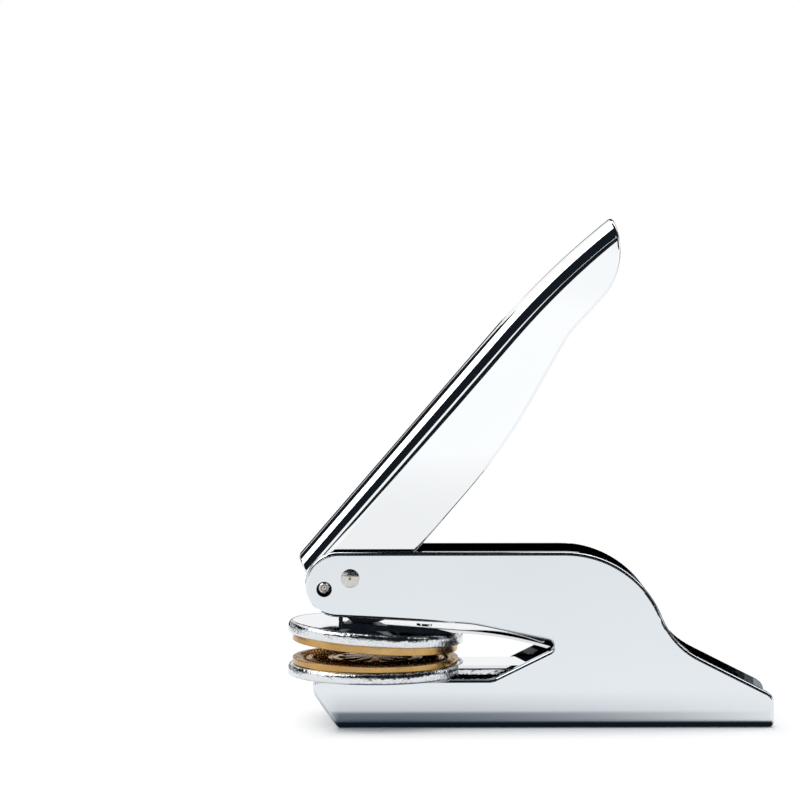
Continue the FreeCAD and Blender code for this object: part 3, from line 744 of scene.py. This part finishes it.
# die plates: castings with lumpy rims; lengths in millimetres, weld joins the solid's double points, and
# flatFrom is how upright a normal is where the rim starts to go over to the flat
castLook = {"weld": 0.001, "voxel": 0.3, "noiseSpan": (0.3, 0.7), "noiseDetail": 1.0, "flatFrom": 0.8,
            "lowerSeed": 3.0, "upperSeed": 8.0}
skinSizes = {"Lump size": 1.8, "Lump height": 0.09, "Grain size": 0.7, "Grain height": 0.06,
             "Flat share": 0.0}


def castingTree():
    # sinks the skin of a casting by two sizes of noise, all of it on its rims and a share on its flats
    tree, given = newGeometryTree("castingSkin", ("Seed", *skinSizes))
    place = addNode(tree, "GeometryNodeInputPosition")
    normal = addNode(tree, "GeometryNodeInputNormal")
    drops = []
    for label in ("Lump", "Grain"):
        size = addNode(tree, mathNode, [given[label + " size"], mm], operation="MULTIPLY")
        scale = addNode(tree, mathNode, [1, size], operation="DIVIDE")
        inputs = {"Vector": place, "W": given["Seed"], "Scale": scale, "Detail": castLook["noiseDetail"]}
        noise = addNode(tree, "ShaderNodeTexNoise", inputs, noise_dimensions="4D")
        spread = addNode(tree, rangeNode, [noise, *castLook["noiseSpan"], 0, 1])
        drops.append(addNode(tree, mathNode, [spread, given[label + " height"]], operation="MULTIPLY"))
    both = addNode(tree, mathNode, drops, operation="ADD")
    upright = addNode(tree, mathNode, [addNode(tree, splitNode, [normal]).outputs[2]], operation="ABSOLUTE")
    share = addNode(tree, rangeNode, [upright, castLook["flatFrom"], 1.0, 1.0, given["Flat share"]])
    sunk = addNode(tree, mathNode, [both, share], operation="MULTIPLY")
    inward = addNode(tree, mathNode, [sunk, -mm], operation="MULTIPLY")
    move = addNode(tree, vectorNode, {0: normal, "Scale": inward}, operation="SCALE")
    shaped = addNode(tree, "GeometryNodeSetPosition", {"Geometry": given["Geometry"], "Offset": move})
    smooth = addNode(tree, "GeometryNodeSetShadeSmooth", [shaped])
    endTree(tree, smooth, "rimShare", share, given["Material"])
    return tree


def buildCasting(name, node, body, tilt, seed, tree):
    # works on the plate laid level, so that its flats follow the voxels
    level = diePlace(node, tilt)
    bm = bmesh.new()
    bm.from_mesh(frame["nodes"][node].data)
    bmesh.ops.remove_doubles(bm, verts=bm.verts, dist=castLook["weld"] * mm)
    bm.transform(level.inverted())
    mesh = bpy.data.meshes.new(name)
    bm.to_mesh(mesh)
    bm.free()
    plate = addObject(name, mesh)
    remesh = plate.modifiers.new("even", "REMESH")
    remesh.mode = "VOXEL"
    remesh.voxel_size = castLook["voxel"] * mm
    applyModifiers(plate)
    applyTree(plate, tree, {"Seed": seed, "Material": metals["chrome_casting"], **skinSizes})
    settle(plate, level, body, "chrome_casting", node)


skin = castingTree()
buildCasting("lowerPlateCasting", "lower_die_plate", "stand", 0.0, castLook["lowerSeed"], skin)
buildCasting("upperPlateCasting", "upper_die_plate", "upper_jaw", jawTilt, castLook["upperSeed"], skin)
print("plates cast")


def turnedPin(name, node, look, halfProfile, body):
    # half a profile runs from the middle of one end to the pin's side, and its mirror image makes the
    # other end
    mirrored = [(r, -h, b) for r, h, b in halfProfile] + [(r, h, b) for r, h, b in reversed(halfProfile)]
    pin = turned(name, fineProfile(mirrored, look["ringStep"] * mm), look["steps"])
    pin.data.materials.append(turnedSteel)
    place = Matrix.Translation(middleOf(node)) @ Matrix.Rotation(math.pi / 2, 4, "X")
    settle(pin, place, body, "pin_steel", node)


def halfPin(node):
    # radius and half length of a pin that lies across the machine
    low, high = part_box(node)
    return (high.z - low.z) / 2, (high.y - low.y) / 2


# main axle: domed ends with a turning centre, and a fine groove under each dome; in millimetres
axleLook = {"dome": 0.45, "domeParts": 8, "mark": 0.35, "markDepth": 0.35, "markRound": 0.06,
            "grooveLow": 0.22, "groove": 0.10, "steps": 96, "ringStep": 0.06}


def buildAxle():
    radius, end = halfPin("main_axle")
    look = {key: value * mm for key, value in axleLook.items()}
    ball = (radius ** 2 + look["dome"] ** 2) / (2 * look["dome"])
    half = [(0, end - look["markDepth"], 0)]
    for i in range(axleLook["domeParts"] + 1):
        out = look["mark"] + (radius - look["mark"]) * i / axleLook["domeParts"]
        half.append((out, end - ball + math.sqrt(ball ** 2 - out ** 2), 0 if i else look["markRound"]))
    rim = end - look["dome"]
    half += [(radius, rim - look["groove"], 0), (radius - look["groove"], rim - look["grooveLow"], 0),
             (radius, rim - 2 * look["grooveLow"], 0)]
    turnedPin("domedAxle", "main_axle", axleLook, half, "stand")


# cam pin: flat chamfered ends with a ring groove and a pip; in millimetres
camPinLook = {"chamfer": 0.3, "groove": 0.72, "grooveWidth": 0.16, "grooveDepth": 0.1, "pip": 0.3,
              "pipDepth": 0.14, "steps": 72, "ringStep": 0.05}


def buildCamPin():
    radius, end = halfPin("cam_pin")
    look = {key: value * mm for key, value in camPinLook.items()}
    groove, width, depth = look["groove"], look["grooveWidth"], look["grooveDepth"]
    half = [(0, end - look["pipDepth"], 0), (look["pip"], end, 0), (groove - width, end, 0),
            (groove, end - depth, 0), (groove + width, end, 0), (radius - look["chamfer"], end, 0),
            (radius, end - look["chamfer"], 0)]
    turnedPin("turnedCamPin", "cam_pin", camPinLook, half, "lever_arm")


buildAxle()
buildCamPin()
print("pins turned")
